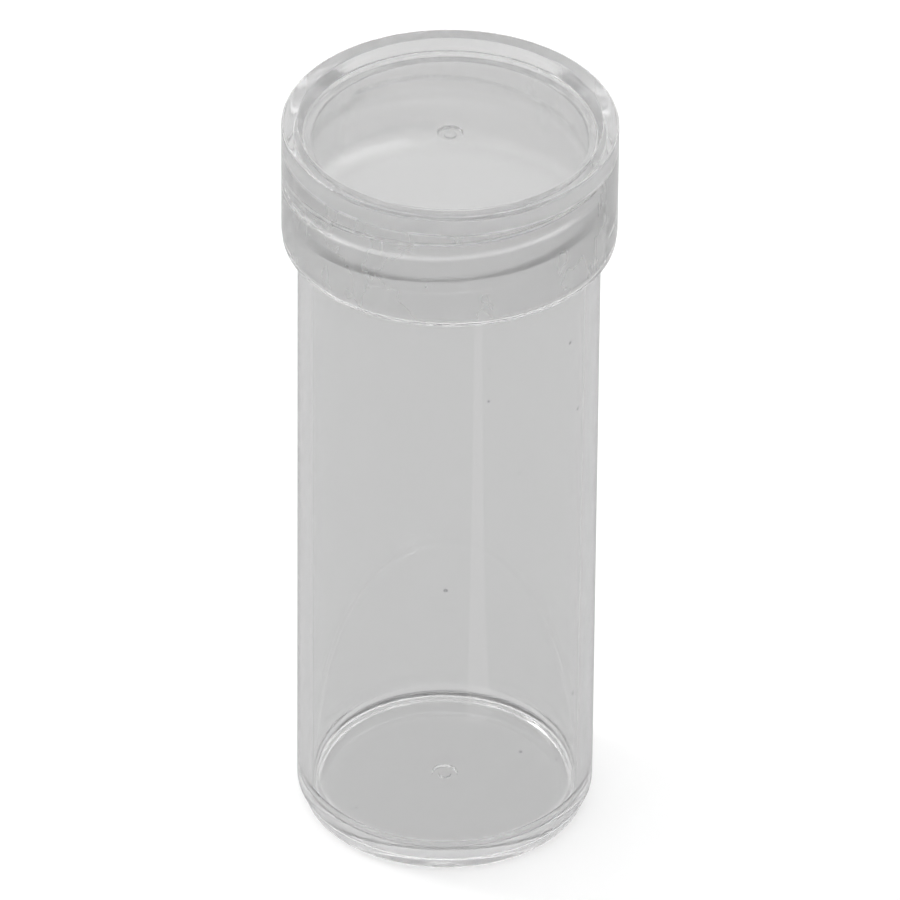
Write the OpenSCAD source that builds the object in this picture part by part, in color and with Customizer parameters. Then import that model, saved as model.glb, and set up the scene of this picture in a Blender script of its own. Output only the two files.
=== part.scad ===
// Round coin tube in clear plastic with a screw cap.
// Millimetres, +Z up, the origin at the centre of the base.

/* [Coins] */
// Diameter of the coins that the tube holds
coin_d = 24.3; // [16:0.1:42]
// Height of a full stack, which is 40 coins of 1.75 mm
stack_h = 70; // [20:0.5:120]
// Play all round a coin at the mouth
coin_play = 0.5; // [0.3:0.05:1.5]
// Height left above a full stack, with the round in the floor's corner
stack_play = 1.5; // [1:0.1:5]

/* [Tube] */
// Wall of the tube
tube_wall = 1.35; // [1.2:0.05:2.5]
// Narrowing of the bore's radius from the mouth to the floor
bore_draft = 0.1; // [0:0.02:0.25]
// Thickness of the floor
floor_t = 1.8; // [1:0.1:4]
// Inside round between the wall and the floor
floor_round = 1.8; // [0.5:0.1:3]
// Height of the stepped foot
foot_h = 1.3; // [0.9:0.1:2]
// How far the foot is set in from the wall's outside
foot_inset = 0.6; // [0.3:0.05:0.9]
// Round on the foot's lower edge
foot_round = 0.3; // [0.1:0.05:0.5]
// Round on the wall's lower edge, above the foot
step_round = 0.5; // [0.1:0.05:0.9]

/* [Neck] */
// Height of the neck from the shoulder to the mouth
neck_h = 10; // [8:0.1:16]
// How far the neck is set in from the wall's outside
neck_inset = 0.4; // [0.2:0.05:0.6]
// Bevel on both edges of the mouth
mouth_bevel = 0.2; // [0.1:0.05:0.3]

/* [Thread] */
// Rise of the thread in one turn
pitch = 5.6; // [4.4:0.1:6.4]
// Height of both thread ridges
ridge_h = 0.6; // [0.4:0.05:0.8]
// Width of a ridge at its root
ridge_root = 2.2; // [1.6:0.1:2.4]
// Width of a ridge at its crest
ridge_crest = 0.8; // [0.6:0.1:1.4]
// Angle at which the neck's ridge starts under the mouth
ridge_start = 135; // [0:5:355]
// Angle over which a ridge runs in and out
ridge_run = 14; // [8:1:30]
// Plain land between the mouth and the neck's ridge
neck_land = 1.2; // [0.5:0.1:2]
// Plain land between the neck's ridge and the shoulder
shoulder_land = 0.3; // [0.2:0.1:1]
// How far the start of the cap's ridge is sunk into the plate
ridge_sink = 0.35; // [0.1:0.05:0.6]
// Plain land between the cap's ridge and the skirt's lower edge
skirt_land = 2.3; // [0.8:0.1:3]

/* [Cap] */
// Wall of the skirt
skirt_wall = 1.1; // [0.8:0.05:2]
// Thickness of the plate that closes the tube
plate_t = 1.3; // [0.8:0.05:2.5]
// Round on the outer edge of the rim
rim_round = 0.25; // [0.1:0.05:0.5]
// How far the recess for another tube's foot opens out to the rim
recess_flare = 0.5; // [0.2:0.05:0.9]
// Height of the band at the skirt's lower edge
band_h = 0.8; // [0.5:0.1:1.5]
// How far the band is set in
band_inset = 0.08; // [0.04:0.02:0.2]
// Bevel on the skirt's lower edge, outside
skirt_bevel = 0.15; // [0.05:0.05:0.3]
// Round on the skirt's lower edge, inside, which leads the cap over the neck
lead_in = 0.5; // [0.2:0.05:0.7]

/* [Gate marks] */
// Diameter of the nib that moulding leaves
gate_d = 1.2; // [0.6:0.1:1.6]
// Height of the nib
gate_h = 0.15; // [0.1:0.05:0.2]
// Diameter of the dimple round the nib
dimple_d = 2.4; // [2:0.1:4]
// Depth of the dimple
dimple_depth = 0.25; // [0.25:0.05:0.5]

/* [Clearances] */
// Radial gap between a ridge and the wall that it faces
thread_gap = 0.2; // [0.15:0.05:0.4]
// Gap between the flanks of the two ridges, with the cap tight
flank_gap = 0.25; // [0.15:0.05:0.5]
// Gap between the cap's plate and the tube's mouth
seat_gap = 0.05; // [0.02:0.01:0.2]
// Gap between the skirt's lower edge and the shoulder
skirt_gap = 0.4; // [0.2:0.1:1]
// Radial gap between another tube's foot and the recess
nest_gap = 0.1; // [0.05:0.05:0.3]
// How far another tube's step stands above the rim
nest_lift = 0.15; // [0.05:0.05:0.4]

/* [Hidden] */
clear_plastic = [0.80, 0.81, 0.81, 0.4];
milky_plastic = [0.84, 0.85, 0.85, 0.5];

round_fn = 96;
full_turn = 360;
steps_per_turn = 72;
// Overrun of every cut and the depth to which a ridge's root is buried
over = 0.3;

bore_r = coin_d / 2 + coin_play;
bore_low_r = bore_r - bore_draft;
tube_r = bore_r + tube_wall;
foot_r = tube_r - foot_inset;
neck_r = tube_r - neck_inset;
skirt_in_r = neck_r + ridge_h + thread_gap;
cap_r = skirt_in_r + skirt_wall;
recess_r = foot_r + nest_gap;
rim_in_r = recess_r + recess_flare;

mouth_z = floor_t + stack_h + stack_play;
shoulder_z = mouth_z - neck_h;
skirt_z = shoulder_z + skirt_gap;
plate_z = mouth_z + seat_gap;
recess_z = plate_z + plate_t;
rim_z = recess_z + foot_h - nest_lift;

// The neck's ridge runs down and clockwise from the mouth: a right-hand thread
neck_ridge_z = mouth_z - neck_land - ridge_root / 2;
neck_turns = (neck_ridge_z - shoulder_z - shoulder_land - ridge_root / 2) / pitch;
// The cap's ridge lies under the neck's, flank to flank
flank_slope = (ridge_root - ridge_crest) / 2 / ridge_h;
ridge_drop = ridge_root - flank_slope * (skirt_in_r - neck_r) + flank_gap;
cap_ridge_z = plate_z + ridge_sink - ridge_root / 2;
cap_turns = (cap_ridge_z - skirt_z - skirt_land - ridge_root / 2) / pitch;
cap_start = ridge_start - full_turn * (neck_ridge_z - ridge_drop + pitch - cap_ridge_z) / pitch;

function ring(root, crest, z, a) = [
    for (p = [[root, -ridge_root], [crest, -ridge_crest], [crest, ridge_crest], [root, ridge_root]])
        [p[0] * cos(a), p[0] * sin(a), z + p[1] / 2]
];

// How much of its height a ridge has at step k of n, with a run at each end
function rise(k, n) =
    let (run = steps_per_turn * ridge_run / full_turn)
        max(0, min(1, k / run, (n - k) / run));

// A thread ridge on the wall at wall_r. Its crest points out for side 1 and in for side -1
module ridge(wall_r, side, start, top_z, turns) {
    n = ceil(steps_per_turn * turns);
    points = [
        for (k = [0:n])
            each ring(
                wall_r - side * over,
                wall_r + side * ridge_h * rise(k, n),
                top_z - pitch * turns * k / n,
                start - full_turn * turns * k / n
            )
    ];
    sides = [
        for (k = [0:n - 1], j = [0:3])
            let (a = 4 * k + j, b = 4 * k + (j + 1) % 4)
                each side > 0 ? [[a, b + 4, b], [a, a + 4, b + 4]] : [[a, b, b + 4], [a, b + 4, a + 4]]
    ];
    first = [0, 1, 2, 3];
    last = [for (j = [0:3]) 4 * n + j];
    ends = side > 0 ? [first, [for (j = [3:-1:0]) last[j]]] : [[for (j = [3:-1:0]) first[j]], last];
    polyhedron(points = points, faces = concat(sides, ends), convexity = 10);
}

// The dimple and the nib stand on a face that looks up
module dimple() {
    translate([0, 0, -dimple_depth])
        cylinder(d = dimple_d, h = dimple_depth + over, $fn = round_fn);
}

module nib() {
    cylinder(d = gate_d, h = gate_h, $fn = round_fn);
}

module foot_section() {
    square([foot_r - foot_round, foot_h]);
    translate([0, foot_round])
        square([foot_r, foot_h - foot_round]);
    translate([foot_r - foot_round, foot_round])
        circle(r = foot_round, $fn = round_fn);
}

module tube_section() {
    foot_section();
    translate([tube_r - step_round, foot_h + step_round])
        circle(r = step_round, $fn = round_fn);
    polygon([
        [0, foot_h],
        [tube_r - step_round, foot_h],
        [tube_r - step_round, foot_h + step_round],
        [tube_r, foot_h + step_round],
        [tube_r, shoulder_z - neck_inset],
        [neck_r, shoulder_z],
        [neck_r, mouth_z - mouth_bevel],
        [neck_r - mouth_bevel, mouth_z],
        [0, mouth_z]
    ]);
}

module bore_section() {
    translate([0, floor_t])
        square([bore_low_r - floor_round, floor_round + over]);
    translate([bore_low_r - floor_round, floor_t + floor_round])
        circle(r = floor_round, $fn = round_fn);
    polygon([
        [0, floor_t + floor_round],
        [bore_low_r, floor_t + floor_round],
        [bore_r, mouth_z - mouth_bevel],
        [bore_r + mouth_bevel, mouth_z],
        [bore_r + mouth_bevel, mouth_z + over],
        [0, mouth_z + over]
    ]);
}

module tube() {
    color(clear_plastic) {
        difference() {
            union() {
                rotate_extrude($fn = round_fn)
                    difference() {
                        tube_section();
                        bore_section();
                    }
                ridge(neck_r, 1, ridge_start, neck_ridge_z, neck_turns);
            }
            translate([0, 0, floor_t])
                dimple();
        }
        translate([0, 0, floor_t - dimple_depth])
            nib();
    }
}

module cap_section() {
    difference() {
        union() {
            translate([0, skirt_z + band_h])
                square([cap_r, rim_z - rim_round - skirt_z - band_h]);
            translate([0, rim_z - rim_round])
                square([cap_r - rim_round, rim_round]);
            translate([cap_r - rim_round, rim_z - rim_round])
                circle(r = rim_round, $fn = round_fn);
            polygon([
                [0, skirt_z],
                [cap_r - band_inset - skirt_bevel, skirt_z],
                [cap_r - band_inset, skirt_z + skirt_bevel],
                [cap_r - band_inset, skirt_z + band_h - band_inset],
                [cap_r, skirt_z + band_h],
                [0, skirt_z + band_h]
            ]);
        }
        polygon([
            [0, recess_z],
            [recess_r, recess_z],
            [rim_in_r, rim_z],
            [rim_in_r, rim_z + over],
            [0, rim_z + over]
        ]);
        translate([0, skirt_z - over])
            square([skirt_in_r, plate_z - skirt_z + over]);
        difference() {
            translate([0, skirt_z - over])
                square([skirt_in_r + lead_in, lead_in + over]);
            translate([skirt_in_r + lead_in, skirt_z + lead_in])
                circle(r = lead_in, $fn = round_fn);
        }
    }
}

module cap() {
    color(milky_plastic)
        difference() {
            union() {
                rotate_extrude($fn = round_fn)
                    cap_section();
                ridge(skirt_in_r, -1, cap_start, cap_ridge_z, cap_turns);
            }
            translate([0, 0, recess_z])
                dimple();
        }
}

module cap_gate() {
    color(milky_plastic)
        translate([0, 0, recess_z - dimple_depth])
            nib();
}

tube();
cap();
cap_gate();
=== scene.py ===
import bpy, bmesh, math
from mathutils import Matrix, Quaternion, Vector


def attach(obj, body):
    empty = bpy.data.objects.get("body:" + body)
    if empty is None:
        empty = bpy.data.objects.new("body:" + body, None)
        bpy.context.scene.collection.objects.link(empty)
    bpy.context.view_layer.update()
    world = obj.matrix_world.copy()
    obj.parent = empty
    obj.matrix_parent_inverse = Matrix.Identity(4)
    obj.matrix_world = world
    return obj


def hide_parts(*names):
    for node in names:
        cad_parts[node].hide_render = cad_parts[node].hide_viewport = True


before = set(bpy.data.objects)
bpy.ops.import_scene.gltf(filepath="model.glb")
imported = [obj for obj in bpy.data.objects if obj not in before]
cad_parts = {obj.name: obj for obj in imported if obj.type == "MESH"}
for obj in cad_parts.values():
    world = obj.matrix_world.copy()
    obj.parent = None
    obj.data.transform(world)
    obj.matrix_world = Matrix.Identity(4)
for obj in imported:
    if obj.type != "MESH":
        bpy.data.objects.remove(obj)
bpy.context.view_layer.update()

mm = 0.001
print("frame loaded:", sorted(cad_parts))

# how finely the pieces are cut, lengths in mm
cut = {"segments": 360, "nibSegments": 48, "rowHeight": 0.1, "hold": 0.05, "nibHold": 0.01,
       "arcSteps": 4, "arcStepsPerMm": 24, "mostArcSteps": 20, "slack": 0.02, "poleRadius": 1e-6}

# the screw thread that both pieces share, in mm, with its run in turns
screw = {"pitch": 5.6, "height": 0.6, "root": 2.2, "crest": 0.8, "run": 20 / 360}


def roundOutline(outline, hold):
    # outline: (r, z, round) in mm, where a round of 0 keeps the point
    # each arc gets a hold point on both sides, so that flats shade flat
    result = []
    for k, (r, z, bend) in enumerate(outline):
        here = Vector((r, z))
        if bend <= 0:
            result.append(here)
            continue
        steps = min(cut["mostArcSteps"], math.ceil(cut["arcSteps"] + bend * cut["arcStepsPerMm"]))
        before = (Vector(outline[k - 1][:2]) - here).normalized()
        after = (Vector(outline[(k + 1) % len(outline)][:2]) - here).normalized()
        half = before.angle(after) / 2
        reach = bend / math.tan(half)
        centre = here + (before + after).normalized() * (bend / math.sin(half))
        first, last = here + before * reach, here + after * reach
        spoke = first - centre
        turn = spoke.angle_signed(last - centre)
        result.append(first + before * hold)
        for s in range(steps + 1):
            angle = -turn * s / steps
            result.append(centre + Vector((spoke.x * math.cos(angle) - spoke.y * math.sin(angle),
                                           spoke.x * math.sin(angle) + spoke.y * math.cos(angle))))
        result.append(last + after * hold)
    return result


def addRows(points, radius, fromHeight, toHeight):
    # splits the upright run at this radius that spans both heights into fine rows
    step = cut["rowHeight"]
    result = []
    for k, p in enumerate(points):
        result.append(p)
        q = points[(k + 1) % len(points)]
        upright = max(abs(p.x - radius), abs(q.x - radius)) < cut["slack"]
        if upright and min(p.y, q.y) < fromHeight + step and max(p.y, q.y) > toHeight - step:
            rows = int(abs(q.y - p.y) / step)
            result += [p.lerp(q, (n + 1) / (rows + 1)) for n in range(rows)]
    return result


def lathe(name, points, segments):
    # turns a closed outline of (r, z) in mm about Z
    mesh = bpy.data.meshes.new(name)
    bm = bmesh.new()
    angles = [2 * math.pi * s / segments for s in range(segments)]
    rings = []
    for p in points:
        if p.x < cut["poleRadius"]:
            rings.append([bm.verts.new((0, 0, p.y * mm))] * segments)
        else:
            rings.append([bm.verts.new((p.x * mm * math.cos(a), p.x * mm * math.sin(a), p.y * mm))
                          for a in angles])
    for k, ring in enumerate(rings):
        above = rings[(k + 1) % len(rings)]
        if ring[0] is ring[1] and above[0] is above[1]:
            continue
        for s in range(segments):
            t = (s + 1) % segments
            corners = [ring[s], ring[t], above[t], above[s]]
            bm.faces.new([v for i, v in enumerate(corners) if v not in corners[:i]])
    bmesh.ops.recalc_face_normals(bm, faces=bm.faces)
    bm.to_mesh(mesh)
    bm.free()
    mesh.shade_smooth()
    piece = bpy.data.objects.new(name, mesh)
    bpy.context.scene.collection.objects.link(piece)
    return piece


def nodeCalc(tree, operation, *values):
    node = tree.nodes.new("ShaderNodeMath")
    node.operation = operation
    for socket, value in zip(node.inputs, values):
        if isinstance(value, (int, float)):
            socket.default_value = value
        else:
            tree.links.new(value, socket)
    return node.outputs[0]


def threadTree():
    # pushes a plain wall out (or in) along a helix, so that the ridge and its wall are one smooth skin
    tree = bpy.data.node_groups.new("threadRidge", "GeometryNodeTree")
    sockets = tree.interface
    sockets.new_socket("Geometry", in_out="INPUT", socket_type="NodeSocketGeometry")
    names = ["Wall Radius", "Side", "Pitch", "Ridge Height", "Root Width", "Crest Width",
             "Start Angle", "Top Z", "Turns", "Run", "Low Z", "High Z", "Whole Depth", "Nil Depth", "Slack"]
    for name in names:
        sockets.new_socket(name, in_out="INPUT", socket_type="NodeSocketFloat")
    sockets.new_socket("Finish", in_out="INPUT", socket_type="NodeSocketMaterial")
    sockets.new_socket("Geometry", in_out="OUTPUT", socket_type="NodeSocketGeometry")
    given = tree.nodes.new("NodeGroupInput").outputs

    def calc(operation, *values):
        return nodeCalc(tree, operation, *values)

    def ramp(value, low, high):
        node = tree.nodes.new("ShaderNodeMapRange")
        node.interpolation_type = "SMOOTHSTEP"
        tree.links.new(value, node.inputs["Value"])
        tree.links.new(low, node.inputs["From Min"])
        tree.links.new(high, node.inputs["From Max"])
        return node.outputs["Result"]

    split = tree.nodes.new("ShaderNodeSeparateXYZ")
    tree.links.new(tree.nodes.new("GeometryNodeInputPosition").outputs[0], split.inputs[0])
    x, y, z = split.outputs
    radius = calc("SQRT", calc("ADD", calc("MULTIPLY", x, x), calc("MULTIPLY", y, y)))

    # the turn of the helix that lies nearest in height
    swing = calc("DIVIDE", calc("SUBTRACT", given["Start Angle"], calc("ARCTAN2", y, x)), 2 * math.pi)
    part = calc("FRACT", swing)
    depth = calc("DIVIDE", calc("SUBTRACT", given["Top Z"], z), given["Pitch"])
    whole = calc("MAXIMUM", calc("ROUND", calc("SUBTRACT", depth, part)), 0.0)
    along = calc("ADD", part, whole)
    centreZ = calc("SUBTRACT", given["Top Z"], calc("MULTIPLY", given["Pitch"], along))

    # the ridge's section, its runs at both ends, and its fade over the flat that the wall meets
    flank = ramp(calc("ABSOLUTE", calc("SUBTRACT", centreZ, z)),
                 calc("DIVIDE", given["Root Width"], 2.0), calc("DIVIDE", given["Crest Width"], 2.0))
    clamp = tree.nodes.new("ShaderNodeClamp")
    toEnd = calc("SUBTRACT", given["Turns"], along)
    runs = calc("MINIMUM", calc("DIVIDE", along, given["Run"]), calc("DIVIDE", toEnd, given["Run"]))
    tree.links.new(runs, clamp.inputs[0])
    push = calc("MULTIPLY", calc("MULTIPLY", given["Side"], given["Ridge Height"]),
                calc("MULTIPLY", flank, clamp.outputs[0]))
    share = ramp(radius, calc("SUBTRACT", given["Wall Radius"], given["Nil Depth"]),
                 calc("SUBTRACT", given["Wall Radius"], given["Whole Depth"]))
    push = calc("MULTIPLY", push, share)
    shift = tree.nodes.new("ShaderNodeCombineXYZ")
    tree.links.new(calc("MULTIPLY", push, calc("DIVIDE", x, radius)), shift.inputs[0])
    tree.links.new(calc("MULTIPLY", push, calc("DIVIDE", y, radius)), shift.inputs[1])

    onWall = calc("LESS_THAN", radius, calc("ADD", given["Wall Radius"], given["Slack"]))
    inside = calc("MULTIPLY", calc("GREATER_THAN", z, given["Low Z"]),
                  calc("LESS_THAN", z, given["High Z"]))
    setPlace = tree.nodes.new("GeometryNodeSetPosition")
    tree.links.new(given["Geometry"], setPlace.inputs["Geometry"])
    tree.links.new(calc("MULTIPLY", onWall, inside), setPlace.inputs["Selection"])
    tree.links.new(shift.outputs[0], setPlace.inputs["Offset"])
    realize = tree.nodes.new("GeometryNodeRealizeInstances")
    finish = tree.nodes.new("GeometryNodeSetMaterial")
    tree.links.new(setPlace.outputs[0], realize.inputs[0])
    tree.links.new(realize.outputs[0], finish.inputs["Geometry"])
    tree.links.new(given["Finish"], finish.inputs["Material"])
    tree.links.new(finish.outputs[0], tree.nodes.new("NodeGroupOutput").inputs[0])
    return tree


def cutThread(piece, tree, side, start, turns, lengths, finish):
    # start in degrees, lengths in mm
    modifier = piece.modifiers.new("thread", "NODES")
    modifier.node_group = tree
    sockets = {item.name: item.identifier for item in tree.interface.items_tree if item.in_out == "INPUT"}
    shared = {"Pitch": screw["pitch"], "Ridge Height": screw["height"], "Root Width": screw["root"],
              "Crest Width": screw["crest"], "Slack": cut["slack"]}
    for name, length in {**shared, **lengths}.items():
        modifier[sockets[name]] = length * mm
    modifier[sockets["Side"]] = side
    modifier[sockets["Start Angle"]] = math.radians(start)
    modifier[sockets["Turns"]] = turns
    modifier[sockets["Run"]] = screw["run"]
    modifier[sockets["Finish"]] = finish
    bpy.context.view_layer.update()
    graph = bpy.context.evaluated_depsgraph_get()
    mesh = bpy.data.meshes.new_from_object(piece.evaluated_get(graph))
    piece.modifiers.remove(modifier)
    piece.data = mesh
    mesh.name = piece.name
    mesh.shade_smooth()


# the plastic of both pieces, and what moulding and handling leave on it
# noise scales are per metre, a band is the part of a noise that shows, and lengths are in mm
plastic = {"ior": 1.59, "wallFade": 0.8, "bumpDepth": 0.1,
           "cloudStretch": (1, 1, 0.6), "cloudScale": 120, "cloudDetail": 4, "cloudGrain": 0.6,
           "cloudBand": (0.35, 0.75), "flowStretch": (1, 1, 0.05), "flowScale": 260, "flowDetail": 3,
           "uprightHair": (1, 1, 0.03), "uprightScale": 2600, "uprightBand": (0.70, 0.78),
           "levelHair": (0.05, 0.35, 1), "levelScale": 2400, "levelBand": (0.72, 0.80), "hairDetail": 2,
           "hairDepth": -0.3, "speckScale": 260, "speckBand": (0.07, 0.04), "speckShare": (0.86, 0.9),
           "scuffScale": 1500, "scuffDetail": 3, "scuffFrom": 0.52, "scuffCore": 0.2, "scuffHeight": 0.6}


def noiseNode(tree, vector, scale, detail, grain=0.5):
    node = tree.nodes.new("ShaderNodeTexNoise")
    node.inputs["Scale"].default_value = scale
    node.inputs["Detail"].default_value = detail
    node.inputs["Roughness"].default_value = grain
    tree.links.new(vector, node.inputs["Vector"])
    return node.outputs["Fac"]


def bandNode(tree, value, low, high):
    node = tree.nodes.new("ShaderNodeMapRange")
    node.interpolation_type = "SMOOTHSTEP"
    node.inputs["From Min"].default_value = low
    node.inputs["From Max"].default_value = high
    tree.links.new(value, node.inputs["Value"])
    return node.outputs["Result"]


def mouldedSkin():
    group = bpy.data.node_groups.new("mouldedSkin", "ShaderNodeTree")
    for name in ("Cloud", "Flow", "Hairlines", "Specks"):
        group.interface.new_socket(name, in_out="INPUT", socket_type="NodeSocketFloat")
    group.interface.new_socket("Vector", in_out="INPUT", socket_type="NodeSocketVector")
    for name in ("Smear", "Speck", "Height"):
        group.interface.new_socket(name, in_out="OUTPUT", socket_type="NodeSocketFloat")
    given = group.nodes.new("NodeGroupInput").outputs
    out = group.nodes.new("NodeGroupOutput")

    def calc(operation, *values):
        return nodeCalc(group, operation, *values)

    def stretched(stretch, scale, detail, grain=0.5):
        mapping = group.nodes.new("ShaderNodeMapping")
        mapping.inputs["Scale"].default_value = stretch
        group.links.new(given["Vector"], mapping.inputs["Vector"])
        return noiseNode(group, mapping.outputs[0], scale, detail, grain)

    cloud = stretched(plastic["cloudStretch"], plastic["cloudScale"], plastic["cloudDetail"],
                      plastic["cloudGrain"])
    cloud = bandNode(group, cloud, *plastic["cloudBand"])
    flow = stretched(plastic["flowStretch"], plastic["flowScale"], plastic["flowDetail"])
    uprights = stretched(plastic["uprightHair"], plastic["uprightScale"], plastic["hairDetail"])
    levels = stretched(plastic["levelHair"], plastic["levelScale"], plastic["hairDetail"])
    hair = calc("MAXIMUM", bandNode(group, uprights, *plastic["uprightBand"]),
                bandNode(group, levels, *plastic["levelBand"]))
    hair = calc("MULTIPLY", hair, given["Hairlines"])

    cells = group.nodes.new("ShaderNodeTexVoronoi")
    cells.inputs["Scale"].default_value = plastic["speckScale"]
    group.links.new(given["Vector"], cells.inputs["Vector"])
    pick = group.nodes.new("ShaderNodeSeparateColor")
    group.links.new(cells.outputs["Color"], pick.inputs[0])
    speck = calc("MULTIPLY", bandNode(group, cells.outputs["Distance"], *plastic["speckBand"]),
                 bandNode(group, pick.outputs[0], *plastic["speckShare"]))

    smear = calc("ADD", calc("MULTIPLY", cloud, given["Cloud"]), hair)
    height = calc("ADD", calc("MULTIPLY", flow, given["Flow"]),
                  calc("MULTIPLY", hair, plastic["hairDepth"]))
    group.links.new(smear, out.inputs["Smear"])
    group.links.new(calc("MULTIPLY", speck, given["Specks"]), out.inputs["Speck"])
    group.links.new(height, out.inputs["Height"])
    return group


def screwRoughness(tree, place, look):
    # the screw's surfaces are less polished than the rest, and its wall less than the flat beside it
    def calc(operation, *values):
        return nodeCalc(tree, operation, *values)

    split = tree.nodes.new("ShaderNodeSeparateXYZ")
    tree.links.new(place, split.inputs[0])
    x, y, z = split.outputs
    across = calc("SQRT", calc("ADD", calc("MULTIPLY", x, x), calc("MULTIPLY", y, y)))
    between = calc("MULTIPLY", calc("LESS_THAN", z, look["screwTop"] * mm),
                   calc("GREATER_THAN", z, look["screwLow"] * mm))
    onScrew = calc("MULTIPLY", calc("LESS_THAN", across, look["screwRadius"] * mm), between)
    coarse = tree.nodes.new("ShaderNodeMapRange")
    coarse.inputs["From Min"].default_value = look["wallFrom"] * mm
    coarse.inputs["From Max"].default_value = (look["wallFrom"] + plastic["wallFade"]) * mm
    coarse.inputs["To Min"].default_value = look["flatRough"]
    coarse.inputs["To Max"].default_value = look["wallRough"]
    tree.links.new(across, coarse.inputs["Value"])
    return onScrew, coarse.outputs["Result"]


def clearPlastic(name, look, skin):
    finish = bpy.data.materials.new(name)
    finish.use_nodes = True
    tree = finish.node_tree
    shader = tree.nodes["Principled BSDF"]
    shader.inputs["IOR"].default_value = plastic["ior"]
    shader.inputs["Transmission Weight"].default_value = look["clearness"]
    place = tree.nodes.new("ShaderNodeTexCoord").outputs["Object"]

    def calc(operation, *values):
        return nodeCalc(tree, operation, *values)

    worn = tree.nodes.new("ShaderNodeGroup")
    worn.node_tree = skin
    for socket in ("Cloud", "Flow", "Hairlines", "Specks"):
        worn.inputs[socket].default_value = look[socket.lower()]
    tree.links.new(place, worn.inputs["Vector"])
    smear, speck, height = worn.outputs["Smear"], worn.outputs["Speck"], worn.outputs["Height"]
    for spot, size in look["scuffs"]:
        gap = tree.nodes.new("ShaderNodeVectorMath")
        gap.operation = "DISTANCE"
        gap.inputs[1].default_value = [v * mm for v in spot]
        tree.links.new(place, gap.inputs[0])
        crumble = noiseNode(tree, place, plastic["scuffScale"], plastic["scuffDetail"])
        near = bandNode(tree, gap.outputs["Value"], size * mm, size * mm * plastic["scuffCore"])
        scuff = calc("MULTIPLY", near, calc("GREATER_THAN", crumble, plastic["scuffFrom"]))
        smear = calc("ADD", smear, scuff)
        height = calc("ADD", height, calc("MULTIPLY", scuff, plastic["scuffHeight"]))

    roughness = tree.nodes.new("ShaderNodeMapRange")
    roughness.inputs["To Min"].default_value = look["smooth"]
    roughness.inputs["To Max"].default_value = look["rough"]
    tree.links.new(smear, roughness.inputs["Value"])
    onScrew, coarse = screwRoughness(tree, place, look)
    tree.links.new(calc("MULTIPLY_ADD", onScrew, coarse, roughness.outputs["Result"]),
                   shader.inputs["Roughness"])

    tint = tree.nodes.new("ShaderNodeMix")
    tint.data_type = "RGBA"
    tint.inputs["A"].default_value = (*look["tint"], 1)
    tint.inputs["B"].default_value = (*look["speckTint"], 1)
    tree.links.new(speck, tint.inputs["Factor"])
    tree.links.new(tint.outputs["Result"], shader.inputs["Base Color"])
    bump = tree.nodes.new("ShaderNodeBump")
    bump.inputs["Strength"].default_value = look["bump"]
    bump.inputs["Distance"].default_value = plastic["bumpDepth"] * mm
    tree.links.new(height, bump.inputs["Height"])
    tree.links.new(bump.outputs[0], shader.inputs["Normal"])
    return finish


skin = mouldedSkin()
thread = threadTree()
print("skin and thread done")

# the tube, with lengths in mm
# rowsFrom, rowsTo, threadFrom and threadTo keep the fine rows and the ridge off the neck's ends
# the ridge fades out between wholeDepth and nilDepth inside the wall's radius
tube = {"bore": 12.65, "boreLow": 12.55, "wall": 14.0, "foot": 13.4, "footHeight": 1.3, "footRound": 0.3,
        "stepEdge": 0.03, "stepRound": 0.5, "floor": 1.8, "floorRound": 1.8, "neck": 13.6,
        "shoulder": 63.3, "shoulderDrop": 0.4, "shoulderRound": 0.12, "neckRound": 0.1,
        "mouth": 73.3, "mouthRound": 0.2, "dimple": 1.2, "dimpleDepth": 0.25, "dimpleRound": 0.11,
        "nib": 0.6, "nibHeight": 0.15, "nibFoot": 0.03, "nibRound": 0.06, "nibDish": 0.02,
        "ridgeStart": 135, "ridgeTop": 71.0, "turns": 1.125, "rowsFrom": 0.3, "rowsTo": 0.4,
        "threadFrom": 0.05, "threadTo": 0.25, "wholeDepth": 0.005, "nilDepth": 0.02,
        "look": {"clearness": 0.95, "tint": (0.95, 0.95, 0.95), "speckTint": (0.25, 0.25, 0.26),
                 "smooth": 0.02, "rough": 0.08, "bump": 0.02,
                 "cloud": 0.2, "flow": 0.5, "hairlines": 0.2, "specks": 0.8, "scuffs": [],
                 "flatRough": 0.0, "wallRough": 0.12, "wallFrom": 12.7,
                 "screwRadius": 14.3, "screwLow": 63.2, "screwTop": 73.2}}


def buildTube():
    t = tube
    pit = t["floor"] - t["dimpleDepth"]
    outline = [(0, 0, 0), (t["foot"], 0, t["footRound"]), (t["foot"], t["footHeight"], t["stepEdge"]),
               (t["wall"], t["footHeight"], t["stepRound"]),
               (t["wall"], t["shoulder"] - t["shoulderDrop"], t["shoulderRound"]),
               (t["neck"], t["shoulder"], t["neckRound"]),
               (t["neck"], t["mouth"], t["mouthRound"]), (t["bore"], t["mouth"], t["mouthRound"]),
               (t["boreLow"], t["floor"], t["floorRound"]),
               (t["dimple"], t["floor"], t["dimpleRound"]), (t["dimple"], pit, t["dimpleRound"]),
               (t["nib"], pit, t["nibFoot"]), (t["nib"], pit + t["nibHeight"], t["nibRound"]),
               (0, pit + t["nibHeight"] - t["nibDish"], 0)]
    points = addRows(roundOutline(outline, cut["hold"]), t["neck"],
                     t["shoulder"] + t["rowsFrom"], t["mouth"] - t["rowsTo"])
    piece = lathe("tubeBody", points, cut["segments"])
    finish = clearPlastic("clearTubePlastic", t["look"], skin)
    cutThread(piece, thread, 1.0, t["ridgeStart"], t["turns"], {
        "Wall Radius": t["neck"], "Top Z": t["ridgeTop"], "Low Z": t["shoulder"] + t["threadFrom"],
        "High Z": t["mouth"] - t["threadTo"], "Whole Depth": t["wholeDepth"],
        "Nil Depth": t["nilDepth"]}, finish)
    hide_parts("tube")
    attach(piece, "tube")
    print("tube:", len(piece.data.polygons), "faces")


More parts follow.
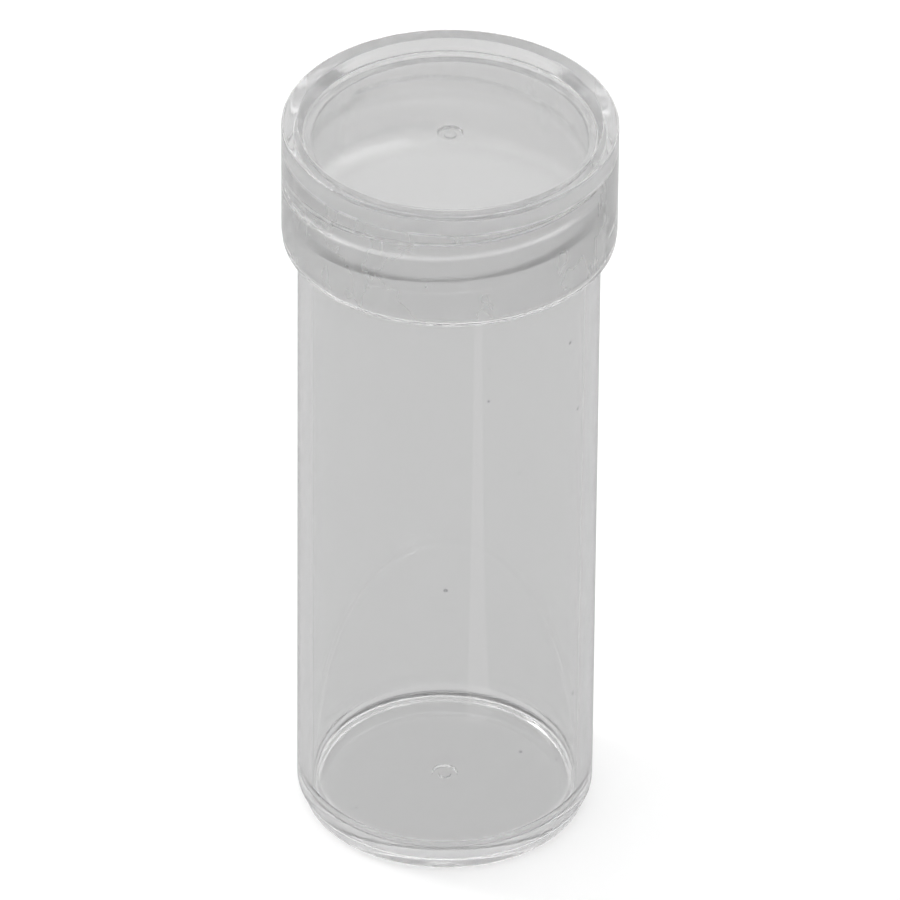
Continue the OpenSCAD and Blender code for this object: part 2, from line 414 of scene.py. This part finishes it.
buildTube()

# the cap, with lengths in mm; the plate's rings let the sunk start of the ridge fade into the plate
cap = {"outer": 15.5, "skirtIn": 14.4, "rimIn": 14.0, "recess": 13.5, "rim": 75.8, "recessFloor": 74.65,
       "plate": 73.35, "plateRound": 0.12, "plateRings": (12.0, 12.5, 13.0, 13.4, 13.8, 14.1),
       "skirt": 63.7, "leadIn": 0.5, "skirtEdge": 0.15, "band": 0.8, "bandInset": 0.08, "bandEdge": 0.03,
       "rimRound": 0.25, "rimInRound": 0.12, "recessRound": 0.15,
       "dimple": 1.2, "dimpleDepth": 0.25, "dimpleRound": 0.11,
       "ridgeStart": -24.6, "ridgeTop": 72.6, "turns": 0.982, "rowsFrom": 0.8, "rowsTo": 0.4,
       "threadFrom": 0.6, "threadPast": 0.01, "wholeDepth": 0.13, "nilDepth": 2.2,
       "look": {"clearness": 0.88, "tint": (0.94, 0.94, 0.94), "speckTint": (0.35, 0.35, 0.36),
                "smooth": 0.07, "rough": 0.15, "bump": 0.015,
                "cloud": 0.25, "flow": 0.6, "hairlines": 0.25, "specks": 0.6,
                "scuffs": [((-3.0, -15.2, 70.6), 1.3), ((-5.6, -13.4, 75.7), 0.6),
                           ((4.6, -14.8, 73.2), 0.9), ((8.1, -12.2, 75.6), 0.7)],
                "flatRough": 0.08, "wallRough": 0.2, "wallFrom": 13.0,
                "screwRadius": 14.45, "screwLow": 63.0, "screwTop": 73.4}}


def buildCap():
    c = cap
    bandOuter = c["outer"] - c["bandInset"]
    bandTop = c["skirt"] + c["band"]
    pit = c["recessFloor"] - c["dimpleDepth"]
    outline = [(0, c["plate"], 0), *[(r, c["plate"], 0) for r in c["plateRings"]],
               (c["skirtIn"], c["plate"], c["plateRound"]), (c["skirtIn"], c["skirt"], c["leadIn"]),
               (bandOuter, c["skirt"], c["skirtEdge"]),
               (bandOuter, bandTop - c["bandInset"], c["bandEdge"]), (c["outer"], bandTop, c["bandEdge"]),
               (c["outer"], c["rim"], c["rimRound"]), (c["rimIn"], c["rim"], c["rimInRound"]),
               (c["recess"], c["recessFloor"], c["recessRound"]),
               (c["dimple"], c["recessFloor"], c["dimpleRound"]),
               (c["dimple"], pit, c["dimpleRound"]), (0, pit, 0)]
    points = addRows(roundOutline(outline, cut["hold"]), c["skirtIn"],
                     c["skirt"] + c["rowsFrom"], c["plate"] - c["rowsTo"])
    piece = lathe("screwCap", points, cut["segments"])
    finish = clearPlastic("milkyCapPlastic", c["look"], skin)
    cutThread(piece, thread, -1.0, c["ridgeStart"], c["turns"], {
        "Wall Radius": c["skirtIn"], "Top Z": c["ridgeTop"], "Low Z": c["skirt"] + c["threadFrom"],
        "High Z": c["plate"] + c["threadPast"], "Whole Depth": c["wholeDepth"],
        "Nil Depth": c["nilDepth"]}, finish)
    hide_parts("cap")
    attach(piece, "cap")
    print("cap:", len(piece.data.polygons), "faces")
    return finish


capFinish = buildCap()

# the nib that the gate leaves in the cap's dimple, in mm; air keeps it off the dimple's floor
nib = {"radius": 0.6, "height": 0.15, "air": 0.01, "footRound": 0.02, "topRound": 0.06, "dish": 0.03}


def buildNib():
    pit = cap["recessFloor"] - cap["dimpleDepth"]
    low, high = pit + nib["air"], pit + nib["height"]
    outline = [(0, low, 0), (nib["radius"], low, nib["footRound"]),
               (nib["radius"], high, nib["topRound"]), (0, high - nib["dish"], 0)]
    piece = lathe("gateNib", roundOutline(outline, cut["nibHold"]), cut["nibSegments"])
    piece.data.materials.append(capFinish)
    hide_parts("cap_gate")
    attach(piece, "cap_carrier")


buildNib()
print("gate nib done")

# floor, light and camera: metres, degrees and watts, with the lens and the sensor in mm
# footAir is the gap under the foot, by which its underside mirrors; lift is light of the floor's own
# the camera's rays take the floor's values, and rays through or off the plastic the through values
studio = {"floorHalf": 4.0, "footAir": 0.00002, "floorRough": 0.9, "floorColour": 0.5, "floorLift": 0.5,
          "throughColour": 0.1, "throughLift": 0.49, "world": 0.75, "horizon": 3.2, "horizonTo": 0.4,
          "distance": 1.223, "elevation": 35.55, "aimZ": 0.03892, "roll": 0.5,
          "sensor": 36, "lens": 524.6, "shiftX": 0.0028, "clipEnd": 20,
          "bounces": 32, "mirrorBounces": 24, "diffuseBounces": 4}
# turn goes round the upright; the strip is seen in reflections only, as a streak on the wall
lamps = {"overheadSoftbox": {"place": (0, 0.1, 0.85), "aim": (0, 0, 0.04), "turn": 0, "seen": True,
                             "size": (1.2, 1.2), "power": 3.6},
         "keyLamp": {"place": (-0.45, 0.22, 0.6), "aim": (0, 0, 0.04), "turn": 0, "seen": True,
                     "size": (0.16, 0.16), "power": 1.6},
         "lowStrip": {"place": (0.025, -0.065, 0.002), "aim": (0.025, -0.065, 1), "turn": 21, "seen": False,
                      "size": (0.010, 0.07), "power": 0.001}}


def buildFloor():
    mesh = bpy.data.meshes.new("floor")
    half, level = studio["floorHalf"], -studio["footAir"]
    corners = [(x * half, y * half, level) for x, y in ((-1, -1), (1, -1), (1, 1), (-1, 1))]
    mesh.from_pydata(corners, [], [(0, 1, 2, 3)])
    floor = bpy.data.objects.new("floor", mesh)
    bpy.context.scene.collection.objects.link(floor)
    paper = bpy.data.materials.new("paleFloor")
    paper.use_nodes = True
    tree = paper.node_tree
    shader = tree.nodes["Principled BSDF"]
    shader.inputs["Roughness"].default_value = studio["floorRough"]
    shader.inputs["Specular IOR Level"].default_value = 0.0
    shader.inputs["Emission Color"].default_value = (1, 1, 1, 1)
    rays = tree.nodes.new("ShaderNodeLightPath")
    seen = rays.outputs["Is Camera Ray"]
    through = nodeCalc(tree, "MAXIMUM", rays.outputs["Is Glossy Ray"], rays.outputs["Is Transmission Ray"])
    lift = nodeCalc(tree, "MAXIMUM", nodeCalc(tree, "MULTIPLY", seen, studio["floorLift"]),
                    nodeCalc(tree, "MULTIPLY", through, studio["throughLift"]))
    tone = nodeCalc(tree, "MULTIPLY_ADD", seen, studio["floorColour"] - studio["throughColour"],
                    studio["throughColour"])
    tree.links.new(tone, shader.inputs["Base Color"])
    tree.links.new(lift, shader.inputs["Emission Strength"])
    mesh.materials.append(paper)


def buildWorld():
    world = bpy.data.worlds.new("softRoom")
    bpy.context.scene.world = world
    world.use_nodes = True
    tree = world.node_tree
    back = tree.nodes["Background"]
    back.inputs["Color"].default_value = (1, 1, 1, 1)
    split = tree.nodes.new("ShaderNodeSeparateXYZ")
    tree.links.new(tree.nodes.new("ShaderNodeTexCoord").outputs["Generated"], split.inputs[0])
    fade = tree.nodes.new("ShaderNodeMapRange")
    fade.inputs["From Max"].default_value = studio["horizonTo"]
    fade.inputs["To Min"].default_value = studio["horizon"]
    fade.inputs["To Max"].default_value = studio["world"]
    tree.links.new(split.outputs["Z"], fade.inputs["Value"])
    tree.links.new(fade.outputs["Result"], back.inputs["Strength"])


def addLamp(name, place, aim, turn, seen, size, power):
    data = bpy.data.lights.new(name, "AREA")
    data.shape = "RECTANGLE"
    data.size, data.size_y = size
    data.energy = power
    lamp = bpy.data.objects.new(name, data)
    lamp.location = place
    facing = (Vector(aim) - Vector(place)).to_track_quat("-Z", "Y")
    lamp.rotation_euler = (Quaternion((0, 0, 1), math.radians(turn)) @ facing).to_euler()
    lamp.visible_camera = lamp.visible_transmission = seen
    bpy.context.scene.collection.objects.link(lamp)


def buildCamera():
    s = studio
    tilt = math.radians(s["elevation"])
    data = bpy.data.cameras.new("camera")
    camera = bpy.data.objects.new("camera", data)
    aim = Vector((0, 0, s["aimZ"]))
    camera.location = aim + Vector((0, -math.cos(tilt), math.sin(tilt))) * s["distance"]
    look = (aim - camera.location).to_track_quat("-Z", "Y") @ Quaternion((0, 0, 1), math.radians(s["roll"]))
    camera.rotation_euler = look.to_euler()
    data.sensor_width = s["sensor"]
    data.lens = s["lens"]
    data.shift_x = s["shiftX"]
    data.clip_end = s["clipEnd"]
    bpy.context.scene.collection.objects.link(camera)
    bpy.context.scene.camera = camera


buildFloor()
buildWorld()
for name, lamp in lamps.items():
    addLamp(name, **lamp)
buildCamera()
bpy.context.scene.view_settings.view_transform = "Standard"
light = bpy.context.scene.cycles  # light is led round inside the clear plates, which takes many bounces
light.max_bounces = light.transmission_bounces = studio["bounces"]
light.glossy_bounces, light.diffuse_bounces = studio["mirrorBounces"], studio["diffuseBounces"]
print("studio done")
